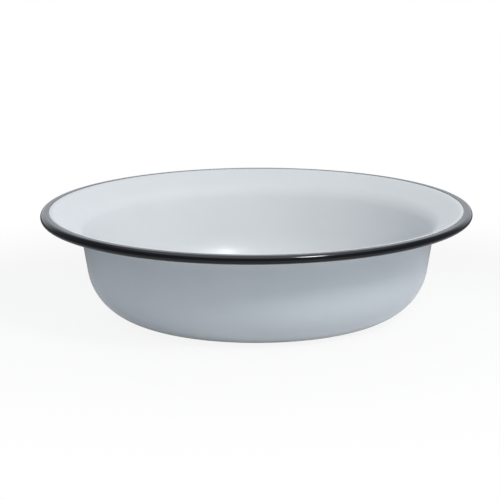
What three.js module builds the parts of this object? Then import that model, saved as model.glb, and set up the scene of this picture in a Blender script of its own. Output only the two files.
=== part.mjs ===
// An enamelled steel bowl with a flared lip and a rolled edge, in millimetres, +Z up.
// One sheet of steel is drawn and its edge rolled outwards. Both faces carry a fused ground coat of enamel,
// with a white cover coat inside, a pale grey one outside and a black one on the lip's border and rolled edge.
// The origin is the centre of the base, on the surface that the bowl stands on.
import * as THREE from "three";

// Driving dimensions of the finished bowl
const RIM_DIAMETER = 280; // over the rolled edge
const HEIGHT = 69; // from the standing face to the top of the rolled edge
const LIP_WIDTH = 25.5; // from the rim in to the shoulder, the corner between wall and lip, mid-sheet
const LIP_RISE = 10.4; // from the shoulder up to the top of the rolled edge
const BORDER_WIDTH = 6; // from the rim in to where the lip becomes level and its black coat begins
const CREST_RADIUS = 6.5; // curve from the rising lip to its level border, on top
const WALL_LEAN = 9; // degrees from vertical, opening upwards
const FOOT_RADIUS = 35.5; // curve from base to wall, outside
const NECK_RADIUS = 11; // curve from wall to lip, outside
const EDGE_DIAMETER = 5.4; // the roll, over its enamel
const SEAM_GAP = 0.6; // between the end of the roll and the underside of the lip
const LEAST_STRAIGHT = 1; // kept between two neighbouring curves

// Thicknesses of the sheet and of the enamel
const SHEET = 0.7;
const GROUND_COAT = 0.12;
const INNER_COVER = 0.2;
const OUTER_COVER = 0.2;
const RIM_COVER = 0.2;
const FUSE_GAP = 0.005; // hairline under each coat, so that fused faces meet without sharing volume

// Facets round the bowl, along its three curves, and over the outside and the underside of the roll
const AROUND = 40;
const FOOT_STEPS = 6;
const NECK_STEPS = 4;
const CREST_STEPS = 2;
const ROLL_OUTER_STEPS = 3;
const ROLL_UNDER_STEPS = 5;

// Offsets from the middle of the sheet: positive towards the inside of the bowl and the outside of the roll
const STEEL_IN = SHEET / 2;
const STEEL_OUT = -SHEET / 2;
const GROUND_IN = STEEL_IN + GROUND_COAT;
const GROUND_OUT = STEEL_OUT - GROUND_COAT;
const COVER_IN = GROUND_IN + INNER_COVER;
const COVER_OUT = GROUND_OUT - OUTER_COVER;
const COVER_RIM = GROUND_IN + RIM_COVER;

// The shoulder and the heel, the corners that the wall makes with lip and base, x from the axis and y up
const lean = THREE.MathUtils.degToRad(WALL_LEAN);
const wallRise = Math.PI / 2 - lean;
const baseHeight = -COVER_OUT;
const shoulder = new THREE.Vector2(RIM_DIAMETER / 2 - LIP_WIDTH, HEIGHT - LIP_RISE);
const heelInset = (shoulder.y - baseHeight) * Math.tan(lean);
const heel = new THREE.Vector2(shoulder.x - heelInset, baseHeight);
const wallLength = heel.distanceTo(shoulder);

// The lip rises from the shoulder as a tangent to its crest, where it becomes level
const crestRadius = CREST_RADIUS - COVER_RIM;
const crestCentre = new THREE.Vector2(RIM_DIAMETER / 2 - BORDER_WIDTH, HEIGHT - CREST_RADIUS);
const toCrest = crestCentre.clone().sub(shoulder);
const lipLength = Math.sqrt(toCrest.lengthSq() - crestRadius ** 2);
const lipSlope = Math.atan2(toCrest.y, toCrest.x) + Math.atan2(crestRadius, lipLength);

// The roll touches the top and the rim
const rollOuter = EDGE_DIAMETER / 2;
const rollRadius = rollOuter - COVER_RIM;
const rollCentre = new THREE.Vector2(RIM_DIAMETER / 2 - rollOuter, HEIGHT - rollOuter);

// How far the neck and the foot reach from their corners, within the straights beside them
const neckTurn = wallRise - lipSlope;
const neckReach = filletReach(NECK_RADIUS - COVER_OUT, neckTurn, lipLength);
const footRoom = Math.min(heel.x, wallLength - neckReach);
const footReach = filletReach(FOOT_RADIUS + COVER_OUT, wallRise, footRoom);

function filletReach(radius, turn, straight) {
  return Math.min(radius * Math.tan(turn / 2), straight - LEAST_STRAIGHT);
}

function direction(angle) {
  return new THREE.Vector2(Math.cos(angle), Math.sin(angle));
}

// Stations along an arc: points on the middle of the sheet, each with the normal that its offsets follow.
// side is 1 where the arc's centre lies on the normal's side of the sheet, and -1 where it lies on the other.
function arc(centre, radius, from, to, steps, side) {
  return Array.from({ length: steps + 1 }, (_, i) => {
    const outward = direction(from + ((to - from) * i) / steps);
    const point = centre.clone().addScaledVector(outward, radius);
    return { point, normal: outward.multiplyScalar(-side) };
  });
}

function baseStation() {
  return { point: new THREE.Vector2(0, baseHeight), normal: new THREE.Vector2(0, 1) };
}

function footStations() {
  const radius = footReach / Math.tan(wallRise / 2);
  const centre = new THREE.Vector2(heel.x - footReach, baseHeight + radius);
  return arc(centre, radius, -Math.PI / 2, -lean, FOOT_STEPS, 1);
}

function neckStations() {
  const radius = neckReach / Math.tan(neckTurn / 2);
  const start = shoulder.clone().addScaledVector(direction(wallRise), -neckReach);
  const centre = start.addScaledVector(direction(-lean), radius);
  return arc(centre, radius, Math.PI - lean, Math.PI / 2 + lipSlope, NECK_STEPS, -1);
}

// The crest ends where the white coat meets the black one
function crestStations() {
  return arc(crestCentre, crestRadius, Math.PI / 2 + lipSlope, Math.PI / 2, CREST_STEPS, -1);
}

// The roll goes from its top over its outermost point, and stops short of the underside of the lip
function rollStations() {
  const endRise = rollRadius + COVER_OUT - SEAM_GAP;
  const end = -Math.PI - Math.asin(endRise / rollOuter);
  const outer = arc(rollCentre, rollRadius, Math.PI / 2, 0, ROLL_OUTER_STEPS, -1);
  const under = arc(rollCentre, rollRadius, 0, end, ROLL_UNDER_STEPS, -1);
  return [...outer, ...under.slice(1)];
}

// A layer between two offsets from the middle of the sheet, turned round the bowl's axis.
function layer(stations, low, high) {
  const at = (offset) => ({ point, normal }) => point.clone().addScaledVector(normal, offset);
  const outline = [...stations.map(at(low)), ...stations.map(at(high)).reverse()];
  const startsOnAxis = stations[0].point.x === 0;
  if (!startsOnAxis) outline.push(outline[0].clone());
  return new THREE.LatheGeometry(outline, AROUND);
}

const crest = crestStations();
const roll = rollStations();
const toBorder = [baseStation(), ...footStations(), ...neckStations(), ...crest];
const toRoll = [...toBorder, roll[0]];
const whole = [...toBorder, ...roll];
const edge = [crest[CREST_STEPS], ...roll];

const steel = new THREE.MeshStandardMaterial({ color: 0x8f9296, roughness: 0.45, metalness: 1 });
const groundEnamel = new THREE.MeshStandardMaterial({ color: 0x23262e, roughness: 0.35, metalness: 0 });
const whiteEnamel = new THREE.MeshStandardMaterial({ color: 0xdfe1e3, roughness: 0.12, metalness: 0 });
const greyEnamel = new THREE.MeshStandardMaterial({ color: 0xcbd1d6, roughness: 0.14, metalness: 0 });
const blackEnamel = new THREE.MeshStandardMaterial({ color: 0x121317, roughness: 0.16, metalness: 0 });

// The layers are turned about three.js's own up axis, and the group stands them on +Z.
const bowl = new THREE.Group();
bowl.rotation.x = Math.PI / 2;

function add(name, geometry, material) {
  const mesh = new THREE.Mesh(geometry, material);
  mesh.name = name;
  bowl.add(mesh);
}

add("steel_shell", layer(whole, STEEL_OUT, STEEL_IN), steel);
add("inner_ground_coat", layer(whole, STEEL_IN + FUSE_GAP, GROUND_IN), groundEnamel);
add("outer_ground_coat", layer(whole, GROUND_OUT, STEEL_OUT - FUSE_GAP), groundEnamel);
add("inner_cover_coat", layer(toBorder, GROUND_IN + FUSE_GAP, COVER_IN), whiteEnamel);
add("outer_cover_coat", layer(toRoll, COVER_OUT, GROUND_OUT - FUSE_GAP), greyEnamel);
add("rim_cover_coat", layer(edge, GROUND_IN + FUSE_GAP, COVER_RIM), blackEnamel);

export default bowl;
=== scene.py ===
# An enamelled steel bowl with a flared lip and a black rolled edge, in metres, +Z up.
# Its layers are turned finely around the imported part, and fired enamel is painted on them by nodes.
import math

import bpy
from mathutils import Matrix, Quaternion, Vector


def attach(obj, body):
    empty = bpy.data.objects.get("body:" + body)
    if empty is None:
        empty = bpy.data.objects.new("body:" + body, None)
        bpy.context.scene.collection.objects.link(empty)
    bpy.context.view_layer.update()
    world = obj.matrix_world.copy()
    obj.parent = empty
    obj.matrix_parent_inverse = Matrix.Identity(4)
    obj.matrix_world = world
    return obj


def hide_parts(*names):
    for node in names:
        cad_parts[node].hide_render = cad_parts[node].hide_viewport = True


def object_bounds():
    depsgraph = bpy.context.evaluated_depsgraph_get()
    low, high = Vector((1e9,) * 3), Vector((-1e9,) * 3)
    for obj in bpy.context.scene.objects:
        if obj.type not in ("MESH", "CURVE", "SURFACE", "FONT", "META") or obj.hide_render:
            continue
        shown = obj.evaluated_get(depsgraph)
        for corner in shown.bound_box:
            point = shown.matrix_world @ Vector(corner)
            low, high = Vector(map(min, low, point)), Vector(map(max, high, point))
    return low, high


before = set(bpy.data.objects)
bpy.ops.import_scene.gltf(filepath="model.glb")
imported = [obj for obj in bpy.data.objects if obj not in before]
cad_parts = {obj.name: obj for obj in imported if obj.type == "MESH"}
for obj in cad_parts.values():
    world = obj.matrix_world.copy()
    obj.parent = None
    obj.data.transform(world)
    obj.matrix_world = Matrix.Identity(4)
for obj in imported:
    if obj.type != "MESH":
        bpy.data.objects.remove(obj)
CAD_LOW, CAD_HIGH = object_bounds()

MM = 0.001

# The finished bowl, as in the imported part
RIM_RADIUS = CAD_HIGH.x
HEIGHT = CAD_HIGH.z
LIP_WIDTH = 25.5 * MM  # from the rim in to the shoulder, the corner between wall and lip
LIP_RISE = 10.4 * MM  # from the shoulder up to the top of the roll
BORDER_WIDTH = 6 * MM  # from the rim in to where the lip becomes level
CREST_RADIUS = 6.5 * MM  # from the rising lip to its level border, on top
WALL_LEAN = math.radians(9)
FOOT_RADIUS = 35.5 * MM  # from base to wall, outside
NECK_RADIUS = 11 * MM  # from wall to lip, outside
EDGE_RADIUS = 2.7 * MM  # of the roll, over its enamel
SEAM_GAP = 0.6 * MM  # between the end of the roll and the underside of the lip

# What the work by hand leaves uneven
BODY_OFFSET = 0.65 * MM  # the pressed body sits this far to the right under the rolled rim
EDGE_VARIATION = 0.24 * MM  # the roll is tighter on the right by this much, and wider on the left
BLACK_WIDTH = 5.78 * MM  # how far the black coat reaches in from the rim, on average
BORDER_WAVES = (  # of the black coat's border: height, number round the bowl, and phase
    (0.10 * MM, 3, 0.7),
    (0.06 * MM, 7, 2.1),
    (0.04 * MM, 16, 4.0),
)

# The sheet and its coats
SHEET = 0.7 * MM
GROUND_COAT = 0.12 * MM
COVER_COAT = 0.2 * MM
FUSE_GAP = 0.005 * MM  # hairline under each coat

# Offsets from the middle of the sheet, positive towards the inside of the bowl and the outside of the roll
STEEL = SHEET / 2
GROUND = STEEL + GROUND_COAT
COVER = GROUND + COVER_COAT

# Fineness of the meshes
AROUND = 256
BASE_STEPS = 6
FOOT_STEPS = 24
WALL_STEPS = 6
NECK_STEPS = 14
LIP_STEPS = 8
CREST_STEPS = 8
LEVEL_STEPS = 4
ROLL_STEPS = 40
NOSE_STEPS = 5

UP = Vector((0, 1))  # in (radius, height)
AXIS_LIMIT = 1e-9  # points with a smaller radius are on the bowl's axis


def direction(angle):
    return Vector((math.cos(angle), math.sin(angle)))


class Sheet:
    """The middle line of the sheet in (radius, height), from the axis to the end of the roll."""

    def __init__(self):
        self.base_height = COVER
        self.shoulder = Vector((RIM_RADIUS - LIP_WIDTH, HEIGHT - LIP_RISE))
        heel_inset = (self.shoulder.y - self.base_height) * math.tan(WALL_LEAN)
        self.heel = Vector((self.shoulder.x - heel_inset, self.base_height))
        self.wall_rise = math.pi / 2 - WALL_LEAN

        self.crest_radius = CREST_RADIUS - COVER
        self.crest_centre = Vector((RIM_RADIUS - BORDER_WIDTH, HEIGHT - CREST_RADIUS))
        to_crest = self.crest_centre - self.shoulder
        lip_length = math.sqrt(to_crest.length_squared - self.crest_radius**2)
        lip_turn = math.atan2(self.crest_radius, lip_length)
        self.lip_slope = math.atan2(to_crest.y, to_crest.x) + lip_turn

    def arc(self, centre, radius, start, end, steps, side):
        """Stations along an arc: points with the normals that the offsets follow.

        side is 1 where the arc's centre lies on the normals' side of the sheet, and -1 on the other side.
        """
        stations = []
        for i in range(steps + 1):
            outward = direction(start + (end - start) * i / steps)
            stations.append((centre + radius * outward, -side * outward))
        return stations

    def straight(self, start, end, steps):
        """Stations between two others on a straight, without its ends."""
        point, normal = start
        return [(point.lerp(end[0], i / steps), normal) for i in range(1, steps)]

    def foot(self):
        radius = FOOT_RADIUS - COVER
        reach = radius * math.tan(self.wall_rise / 2)
        centre = Vector((self.heel.x - reach, self.base_height + radius))
        return self.arc(centre, radius, -math.pi / 2, -WALL_LEAN, FOOT_STEPS, 1)

    def neck(self):
        radius = NECK_RADIUS + COVER
        reach = radius * math.tan((self.wall_rise - self.lip_slope) / 2)
        start = self.shoulder - reach * direction(self.wall_rise)
        centre = start + radius * direction(-WALL_LEAN)
        end = math.pi / 2 + self.lip_slope
        return self.arc(centre, radius, math.pi - WALL_LEAN, end, NECK_STEPS, -1)

    def crest(self):
        start = math.pi / 2 + self.lip_slope
        return self.arc(self.crest_centre, self.crest_radius, start, math.pi / 2, CREST_STEPS, -1)

    def body(self):
        """Stations from the axis to the start of the lip's level border."""
        axis = (Vector((0, self.base_height)), UP)
        foot = self.foot()
        neck = self.neck()
        crest = self.crest()
        base = self.straight(axis, foot[0], BASE_STEPS)
        wall = self.straight(foot[-1], neck[0], WALL_STEPS)
        lip = self.straight(neck[-1], crest[0], LIP_STEPS)
        return [axis, *base, *foot, *wall, *neck, *lip, *crest]

    def roll(self, azimuth):
        outer = EDGE_RADIUS - EDGE_VARIATION * math.cos(azimuth)
        radius = outer - COVER
        centre = Vector((RIM_RADIUS - outer, HEIGHT - outer))
        end_rise = radius - COVER - SEAM_GAP
        end = -math.pi - math.asin(end_rise / outer)
        return self.arc(centre, radius, math.pi / 2, end, ROLL_STEPS, -1)

    def colour_border(self, azimuth):
        """Where the brushed black coat ends on the level border. It wavers a little round the bowl."""
        waver = sum(height * math.sin(count * azimuth + phase) for height, count, phase in BORDER_WAVES)
        radius = RIM_RADIUS - BLACK_WIDTH - waver
        return (Vector((radius, HEIGHT - COVER)), UP)


sheet = Sheet()
BODY = sheet.body()


def placed(point, azimuth):
    """Turns a point of the outline to its azimuth, with the pressed body a little off the rim's centre."""
    radius, height = point
    lip_share = (radius - sheet.shoulder.x) / (sheet.crest_centre.x - sheet.shoulder.x)
    offset = BODY_OFFSET * (1 - min(1, max(0, lip_share)))
    return (radius * math.cos(azimuth) + offset, radius * math.sin(azimuth), height)


def shifted(stations, offset):
    return [point + offset * normal for point, normal in stations]


def nose(station, low, high, sign):
    """A rounded end over a coat's thickness, sign 1 where the coat ends and -1 where it starts."""
    point, normal = station
    ahead = sign * Vector((normal.y, -normal.x))
    middle = (low + high) / 2
    half = (high - low) / 2
    points = []
    for i in range(1, NOSE_STEPS):
        turn = math.pi * i / NOSE_STEPS
        lift = middle - sign * half * math.cos(turn)
        points.append(point + lift * normal + half * (math.sin(turn) - 1) * ahead)
    return points


def layer_outline(stations, low, high):
    """The outline of a layer between two offsets, with rounded ends where it doesn't reach the axis."""
    points = shifted(stations, low)
    points += nose(stations[-1], low, high, 1)
    points += reversed(shifted(stations, high))
    starts_on_axis = stations[0][0].x < AXIS_LIMIT
    if not starts_on_axis:
        points += nose(stations[0], low, high, -1)
    return points


def turned_rings(outline_at):
    """The vertices of an outline turned round the bowl's axis, and the ring of their numbers at each step."""
    vertices = []
    rings = []
    for step in range(AROUND):
        azimuth = 2 * math.pi * step / AROUND
        ring = []
        for point in outline_at(azimuth):
            on_axis = point.x < AXIS_LIMIT
            if on_axis and rings:
                ring.append(rings[0][len(ring)])
                continue
            ring.append(len(vertices))
            vertices.append(placed(point, azimuth))
        rings.append(ring)
    return vertices, rings


def faces_between(rings):
    """Faces from each ring to the next, with three corners at the axis, and none along it."""
    faces = []
    count = len(rings[0])
    for step in range(AROUND):
        here = rings[step]
        there = rings[(step + 1) % AROUND]
        for i in range(count):
            j = (i + 1) % count
            corners = dict.fromkeys((here[i], there[i], there[j], here[j]))
            if len(corners) > 2:
                faces.append(tuple(corners))
    return faces


def turned(name, outline_at):
    """A closed mesh of an outline turned round the bowl's axis. The outline may vary with the azimuth."""
    vertices, rings = turned_rings(outline_at)
    mesh = bpy.data.meshes.new(name)
    mesh.from_pydata(vertices, [], faces_between(rings))
    mesh.validate()
    mesh.polygons.foreach_set("use_smooth", [True] * len(mesh.polygons))
    piece = bpy.data.objects.new(name, mesh)
    bpy.context.scene.collection.objects.link(piece)
    return piece


class Nodes:
    """Short ways to add nodes to a tree."""

    def __init__(self, tree):
        self.tree = tree

    def node(self, kind, inputs=(), **settings):
        made = self.tree.nodes.new(kind)
        for setting, value in settings.items():
            setattr(made, setting, value)
        for socket, value in dict(inputs).items():
            if isinstance(value, bpy.types.NodeSocket):
                self.tree.links.new(value, made.inputs[socket])
            else:
                made.inputs[socket].default_value = value
        return made

    def ramp(self, value, low, high, to_low, to_high):
        """Maps a range of value smoothly to another range."""
        inputs = {"Value": value, "From Min": low, "From Max": high, "To Min": to_low, "To Max": to_high}
        made = self.node("ShaderNodeMapRange", inputs, interpolation_type="SMOOTHSTEP")
        return made.outputs["Result"]

    def math(self, operation, first, second):
        return self.node("ShaderNodeMath", {0: first, 1: second}, operation=operation).outputs[0]

    def blend(self, share, first, second):
        """A number between two others."""
        return self.node("ShaderNodeMix", {"Factor": share, "A": first, "B": second}).outputs["Result"]

    def mix(self, share, first, second):
        """A colour between two others."""
        made = self.node("ShaderNodeMix", {"Factor": share}, data_type="RGBA")
        for socket, colour in (("A_Color", first), ("B_Color", second)):
            end = next(s for s in made.inputs if s.identifier == socket)
            if isinstance(colour, bpy.types.NodeSocket):
                self.tree.links.new(colour, end)
            else:
                end.default_value = colour
        return next(s for s in made.outputs if s.identifier == "Result_Color")

    def seen(self):
        """1 for the camera's own rays, and 0 for the rest."""
        return self.node("ShaderNodeLightPath").outputs["Is Camera Ray"]

    def mirrored(self):
        """1 for the rays by which polished surfaces and glass show the background, and 0 for the rest."""
        rays = self.node("ShaderNodeLightPath").outputs
        return self.math("MAXIMUM", rays["Is Glossy Ray"], rays["Is Transmission Ray"])


NOISE_ROUGHNESS = 0.55
SPECK_FADE = (0.4, 0.6)  # distances from a speck's middle between which it fades out, in shares of its size


class Paint(Nodes):
    """A material with a Principled shader, and short ways to vary it over the surface."""

    def __init__(self, name, **sockets):
        self.material = bpy.data.materials.new(name)
        self.material.use_nodes = True
        super().__init__(self.material.node_tree)
        self.shader = self.tree.nodes["Principled BSDF"]
        for socket, value in sockets.items():
            self.shader.inputs[socket.replace("_", " ")].default_value = value
        self.place = self.node("ShaderNodeTexCoord").outputs["Object"]

    def height(self):
        return self.node("ShaderNodeSeparateXYZ", {0: self.place}).outputs["Z"]

    def distance(self, centre):
        inputs = {0: self.place, 1: centre}
        return self.node("ShaderNodeVectorMath", inputs, operation="DISTANCE").outputs["Value"]

    def noise(self, size, detail=2.0):
        """Noise from 0 to 1 whose features are about as wide as size."""
        inputs = {"Vector": self.place, "Scale": 1 / size, "Detail": detail, "Roughness": NOISE_ROUGHNESS}
        return self.node("ShaderNodeTexNoise", inputs).outputs["Fac"]

    def specks(self, spacing, size, share):
        """Sparse round specks: 1 in a speck and 0 elsewhere."""
        inputs = {"Vector": self.place, "Scale": 1 / spacing}
        cells = self.node("ShaderNodeTexVoronoi", inputs)
        start, end = SPECK_FADE
        near = self.ramp(cells.outputs["Distance"], start * size / spacing, end * size / spacing, 1, 0)
        pick = self.node("ShaderNodeSeparateColor", {"Color": cells.outputs["Color"]}).outputs[0]
        chosen = self.math("LESS_THAN", pick, share)
        return self.math("MULTIPLY", near, chosen)

    def bump(self, heights):
        """Layers of (height from 0 to 1, depth in metres), stacked into one normal."""
        normal = None
        for height, depth in heights:
            inputs = {"Height": height, "Distance": depth, "Strength": 1.0}
            if normal is not None:
                inputs["Normal"] = normal
            normal = self.node("ShaderNodeBump", inputs).outputs["Normal"]
        self.set("Normal", normal)

    def set(self, socket, value):
        self.tree.links.new(value, self.shader.inputs[socket])


# What all the enamels share
ENAMEL_IOR = 1.52
SPECULAR_LEVEL = 0.3  # 0.5 would mirror as strongly as glass
CLOUD_SIZE = 45 * MM
CLOUD_DETAIL = 3
CLOUD_RANGE = (0.35, 0.7)  # of the noise, from the full colour to the thin one
SPECK_SPACING = 7 * MM
SPECK_SIZE = 0.35 * MM
SPECK_SHARE = 0.12  # of the cells, each about a spacing wide, that hold a speck
GLOSS_SIZE = 18 * MM
GLOSS_RANGE = (0.3, 0.7)  # of the noise, from the glossiest places to the dullest
GLOSS_SPREAD = (0.9, 1.15)  # factors on the coat's roughness at these places
WAVE_SIZE = 30 * MM
WAVE_DETAIL = 1
WAVE_DEPTH = 0.06 * MM
PEEL_SIZE = 2.2 * MM  # of the fine unevenness, like an orange's peel
PEEL_DEPTH = 0.006 * MM

# Where hands and ladles rub the inside dull, on the neck and the lip
NECK_DULL = (51.5 * MM, 55 * MM)  # heights at which it starts and is complete
DULL_ROUGHNESS = 0.4  # added to the coat's own

# Pickled sheet steel
STEEL_COLOURS = ((0.24, 0.25, 0.26, 1), (0.36, 0.37, 0.38, 1))
STEEL_ROUGHNESS = (0.38, 0.55)
GRAIN_SIZE = 1.5 * MM
GRAIN_DETAIL = 4
GRAIN_RANGE = (0.2, 0.8)  # of the noise, from the smoothest places to the roughest
GRAIN_DEPTH = 0.01 * MM


def enamel(name, colour, thin_colour, speck_colour, roughness, dull=None):
    """Fired enamel: a glassy coat, faintly clouded and wavy, with a few specks.

    dull is the two heights between which use has taken more and more of the gloss.
    """
    paint = Paint(name, IOR=ENAMEL_IOR, Specular_IOR_Level=SPECULAR_LEVEL)
    cloud = paint.ramp(paint.noise(CLOUD_SIZE, CLOUD_DETAIL), *CLOUD_RANGE, 0, 1)
    tint = paint.mix(cloud, colour, thin_colour)
    specks = paint.specks(SPECK_SPACING, SPECK_SIZE, SPECK_SHARE)
    paint.set("Base Color", paint.mix(specks, tint, speck_colour))
    least, most = GLOSS_SPREAD
    gloss = paint.ramp(paint.noise(GLOSS_SIZE), *GLOSS_RANGE, least * roughness, most * roughness)
    if dull:
        gloss = paint.math("ADD", gloss, paint.ramp(paint.height(), *dull, 0, DULL_ROUGHNESS))
    paint.set("Roughness", gloss)
    waves = paint.noise(WAVE_SIZE, WAVE_DETAIL)
    peel = paint.noise(PEEL_SIZE)
    paint.bump([(waves, WAVE_DEPTH), (peel, PEEL_DEPTH)])
    return paint.material


def bare_steel():
    """Pickled sheet steel, as it is under the enamel."""
    paint = Paint("steel", Metallic=1.0)
    grain = paint.noise(GRAIN_SIZE, GRAIN_DETAIL)
    paint.set("Base Color", paint.mix(grain, *STEEL_COLOURS))
    paint.set("Roughness", paint.ramp(grain, *GRAIN_RANGE, *STEEL_ROUGHNESS))
    paint.bump([(grain, GRAIN_DEPTH)])
    return paint.material


STEEL_PAINT = bare_steel()
GROUND_PAINT = enamel(
    "ground_enamel",
    colour=(0.017, 0.019, 0.027, 1),
    thin_colour=(0.022, 0.025, 0.034, 1),
    speck_colour=(0.05, 0.055, 0.07, 1),
    roughness=0.3,
)
WHITE_PAINT = enamel(
    "white_enamel",
    colour=(0.735, 0.755, 0.765, 1),
    thin_colour=(0.72, 0.742, 0.757, 1),
    speck_colour=(0.42, 0.44, 0.47, 1),
    roughness=0.32,
    dull=NECK_DULL,
)
# Painted shade: this pale blue-grey is partly the outer enamel's own tint and partly shade painted into it. It
# is darker and bluer than the white inside because the outer wall faces away from the light above.
SHADED_GREY_PAINT = enamel(
    "grey_enamel",
    colour=(0.595, 0.638, 0.676, 1),
    thin_colour=(0.58, 0.626, 0.667, 1),
    speck_colour=(0.30, 0.33, 0.37, 1),
    roughness=0.15,
)
BLACK_PAINT = enamel(
    "black_enamel",
    colour=(0.006, 0.0064, 0.0085, 1),
    thin_colour=(0.0075, 0.008, 0.0105, 1),
    speck_colour=(0.03, 0.03, 0.035, 1),
    roughness=0.1,
)


def whole_sheet(low, high):
    def outline(azimuth):
        roll = sheet.roll(azimuth)
        stations = [*BODY, *sheet.straight(BODY[-1], roll[0], LEVEL_STEPS), *roll]
        return layer_outline(stations, low, high)

    return outline


def inner_cover(azimuth):
    border = sheet.colour_border(azimuth)
    stations = [*BODY, border]
    return layer_outline(stations, GROUND + FUSE_GAP, COVER)


def outer_cover(azimuth):
    start = sheet.roll(azimuth)[0]
    stations = [*BODY, *sheet.straight(BODY[-1], start, LEVEL_STEPS), start]
    return layer_outline(stations, -COVER, -GROUND - FUSE_GAP)


def rim_cover(azimuth):
    border = sheet.colour_border(azimuth)
    roll = sheet.roll(azimuth)
    stations = [border, *sheet.straight(border, roll[0], LEVEL_STEPS), *roll]
    return layer_outline(stations, GROUND + FUSE_GAP, COVER)


def add_layer(node, outline_at, paint):
    """The fine mesh that stands for one packed layer of the bowl."""
    piece = turned(node + "_surface", outline_at)
    piece.data.materials.append(paint)
    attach(piece, "root")
    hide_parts(node)


add_layer("steel_shell", whole_sheet(-STEEL, STEEL), STEEL_PAINT)
add_layer("inner_ground_coat", whole_sheet(STEEL + FUSE_GAP, GROUND), GROUND_PAINT)
add_layer("outer_ground_coat", whole_sheet(-GROUND, -STEEL - FUSE_GAP), GROUND_PAINT)
add_layer("inner_cover_coat", inner_cover, WHITE_PAINT)
add_layer("outer_cover_coat", outer_cover, SHADED_GREY_PAINT)
add_layer("rim_cover_coat", rim_cover, BLACK_PAINT)

# The photographed view
CAMERA_TARGET = Vector((0, 0, 0.035))
CAMERA_DISTANCE = 1.5
CAMERA_ELEVATION = math.radians(13.2)
CAMERA_ROLL = math.radians(-0.185)
CAMERA_REACH = 50  # takes in the whole floor
PICTURE_SIDE = 500  # pixels
FOCAL_PIXELS = 2296.4
TARGET_PIXEL = Vector((256.5, 258.8))
SENSOR = 36.0  # millimetres


def add_camera():
    data = bpy.data.cameras.new("camera")
    data.sensor_width = SENSOR
    data.lens = FOCAL_PIXELS / PICTURE_SIDE * SENSOR
    data.shift_x = (PICTURE_SIDE / 2 - TARGET_PIXEL.x) / PICTURE_SIDE
    data.shift_y = (TARGET_PIXEL.y - PICTURE_SIDE / 2) / PICTURE_SIDE
    data.clip_end = CAMERA_REACH
    camera = bpy.data.objects.new("camera", data)
    back = Vector((0, -math.cos(CAMERA_ELEVATION), math.sin(CAMERA_ELEVATION)))
    camera.location = CAMERA_TARGET + CAMERA_DISTANCE * back
    roll = Quaternion((0, 0, 1), CAMERA_ROLL)
    camera.rotation_euler = (back.to_track_quat("Z", "Y") @ roll).to_euler()
    bpy.context.scene.collection.objects.link(camera)
    bpy.context.scene.camera = camera


WHITE = (1, 1, 1, 1)
WHITE_GLOW = 1.0  # the strength that is just white in the picture

# The floor's colour is palest just in front of the bowl and darker towards the room: a painted pool of light,
# standing in for light that falls off away from the bowl
FLOOR_RADIUS = 6.0
FLOOR_SIDES = 64
FLOOR_DROP = 0.1 * MM  # keeps it clear of the standing face
BOWL_CENTRE = (0, 0, 0)
PAINTED_LIGHT_CENTRE = (0.02, -0.11, 0)
PAINTED_LIGHT_COLOUR = (0.86, 0.86, 0.86, 1)
PAINTED_SHADE_COLOUR = (0.2, 0.2, 0.2, 1)
FLOOR_RANGE = (0.15, 0.35)  # distances from a centre between which its colour and glow change

# A share of white glow makes the floor white in the picture and leaves the bowl a faint shadow.
# Polished surfaces mirror less of it, and only near the centre of the painted pool of light.
NEAR_GLOW = 0.88
FAR_GLOW = 1.0
MIRRORED_GLOW = 0.2


def glow_share(paint, from_bowl, from_painted_light):
    seen_share = paint.ramp(from_bowl, *FLOOR_RANGE, NEAR_GLOW, FAR_GLOW)
    mirrored_share = paint.ramp(from_painted_light, *FLOOR_RANGE, MIRRORED_GLOW, 0)
    seen_share = paint.math("MULTIPLY", paint.seen(), seen_share)
    mirrored_share = paint.math("MULTIPLY", paint.mirrored(), mirrored_share)
    return paint.math("MAXIMUM", seen_share, mirrored_share)


def add_floor():
    """A floor with a painted pool of light in front of the bowl, which looks white, with a faint shadow under
    the bowl.
    """
    bpy.ops.mesh.primitive_circle_add(vertices=FLOOR_SIDES, radius=FLOOR_RADIUS, fill_type="NGON")
    floor = bpy.context.object
    floor.name = "floor"
    floor.location.z = -FLOOR_DROP
    paint = Paint("floor", Roughness=1.0, Specular_IOR_Level=0.0)
    from_painted_light = paint.distance(PAINTED_LIGHT_CENTRE)
    # Painted light and shade: the floor's colour is paler near the centre of the painted light and darker away
    # from it.
    painted_falloff = paint.ramp(from_painted_light, *FLOOR_RANGE, 0, 1)
    paint.set("Base Color", paint.mix(painted_falloff, PAINTED_LIGHT_COLOUR, PAINTED_SHADE_COLOUR))
    share = glow_share(paint, paint.distance(BOWL_CENTRE), from_painted_light)
    glow = paint.node("ShaderNodeEmission", {"Color": WHITE, "Strength": WHITE_GLOW})
    mixed = paint.node("ShaderNodeMixShader", {0: share, 1: paint.shader.outputs[0], 2: glow.outputs[0]})
    paint.tree.links.new(mixed.outputs[0], paint.tree.nodes["Material Output"].inputs["Surface"])
    floor.data.materials.append(paint.material)


# The cool light of the room on the bowl. Each change runs between two values of one component of the direction
# that the light comes from.
FILL_COLOUR = (0.95, 1.0, 1.06, 1)
FILL_LEFT = 0.47
FILL_RIGHT = 0.91
FILL_ABOVE = 0.64
FILL_BEHIND = 1.3  # added low behind the bowl, where the background is white
LEFT_TO_RIGHT = (-0.6, 0.8)  # X
SIDES_TO_ABOVE = (0.3, 0.8)  # Z
SIDES_TO_BEHIND = (0.2, 0.8)  # Y
LOW_TO_HIGH = (0.1, 0.4)  # Z

# The room as the enamel mirrors it: white behind the bowl, brighter at the ceiling, and darker elsewhere
MIRRORED_ROOM = 0.2
MIRRORED_CEILING = 2.2
ROOM_TO_WHITE = (0.6, 0.95)  # Y
ROOM_TO_CEILING = (0.65, 1.0)  # Z


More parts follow.
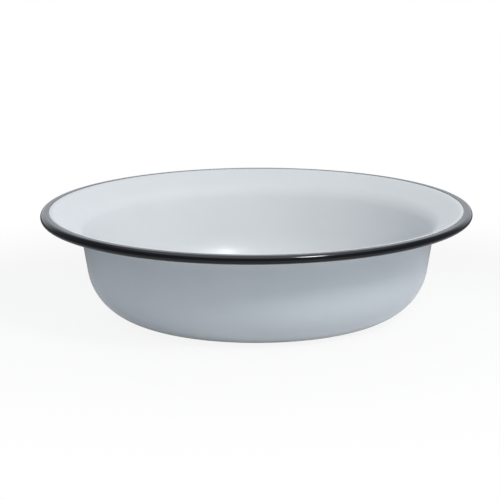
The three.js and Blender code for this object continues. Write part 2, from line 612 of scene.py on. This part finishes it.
def room_light(nodes, towards):
    fill = nodes.ramp(towards["X"], *LEFT_TO_RIGHT, FILL_LEFT, FILL_RIGHT)
    above = nodes.ramp(towards["Z"], *SIDES_TO_ABOVE, 0, 1)
    behind = nodes.ramp(towards["Y"], *SIDES_TO_BEHIND, 0, FILL_BEHIND)
    low = nodes.ramp(towards["Z"], *LOW_TO_HIGH, 1, 0)
    return nodes.math("ADD", nodes.blend(above, fill, FILL_ABOVE), nodes.math("MULTIPLY", behind, low))


def mirrored_room(nodes, towards):
    white = nodes.ramp(towards["Y"], *ROOM_TO_WHITE, MIRRORED_ROOM, WHITE_GLOW)
    ceiling = nodes.ramp(towards["Z"], *ROOM_TO_CEILING, MIRRORED_ROOM, MIRRORED_CEILING)
    return nodes.math("MAXIMUM", white, ceiling)


def add_world():
    """White in the picture, the mirrored room in the enamel, and the light of the room on the bowl."""
    world = bpy.data.worlds.new("studio")
    bpy.context.scene.world = world
    world.use_nodes = True
    nodes = Nodes(world.node_tree)
    place = nodes.node("ShaderNodeTexCoord").outputs["Generated"]
    towards = nodes.node("ShaderNodeSeparateXYZ", {0: place}).outputs
    seen = nodes.seen()
    unseen = nodes.blend(nodes.mirrored(), room_light(nodes, towards), mirrored_room(nodes, towards))
    strength = nodes.blend(seen, unseen, WHITE_GLOW)
    background = nodes.tree.nodes["Background"]
    nodes.tree.links.new(nodes.mix(seen, FILL_COLOUR, WHITE), background.inputs["Color"])
    nodes.tree.links.new(strength, background.inputs["Strength"])


LAMP_DISTANCE = 1.5


def add_softbox(name, azimuth, elevation, width, height, power, colour):
    """An area lamp aimed at the bowl, with angles in degrees and power in watts.

    Azimuth 0 is the camera's side, and grows to the right.
    """
    data = bpy.data.lights.new(name, "AREA")
    data.shape = "RECTANGLE"
    data.size = width
    data.size_y = height
    data.energy = power
    data.color = colour
    lamp = bpy.data.objects.new(name, data)
    turn = math.radians(azimuth)
    rise = math.radians(elevation)
    towards = Vector((math.sin(turn) * math.cos(rise), -math.cos(turn) * math.cos(rise), math.sin(rise)))
    lamp.location = CAMERA_TARGET + LAMP_DISTANCE * towards
    lamp.rotation_euler = towards.to_track_quat("Z", "Y").to_euler()
    bpy.context.scene.collection.objects.link(lamp)
    return lamp


add_camera()
add_floor()
add_world()

# The key lamp isn't mirrored, and the other one only makes the highlights.
key = add_softbox(
    "key_softbox", azimuth=35, elevation=43, width=0.3, height=0.3, power=8.0, colour=(1.0, 0.97, 0.93)
)
key.visible_glossy = False
glint = add_softbox(
    "glint_softbox", azimuth=39, elevation=56, width=0.27, height=0.2, power=15.0, colour=(1.0, 1.0, 1.0)
)
glint.visible_diffuse = False

bpy.context.scene.view_settings.view_transform = "Standard"
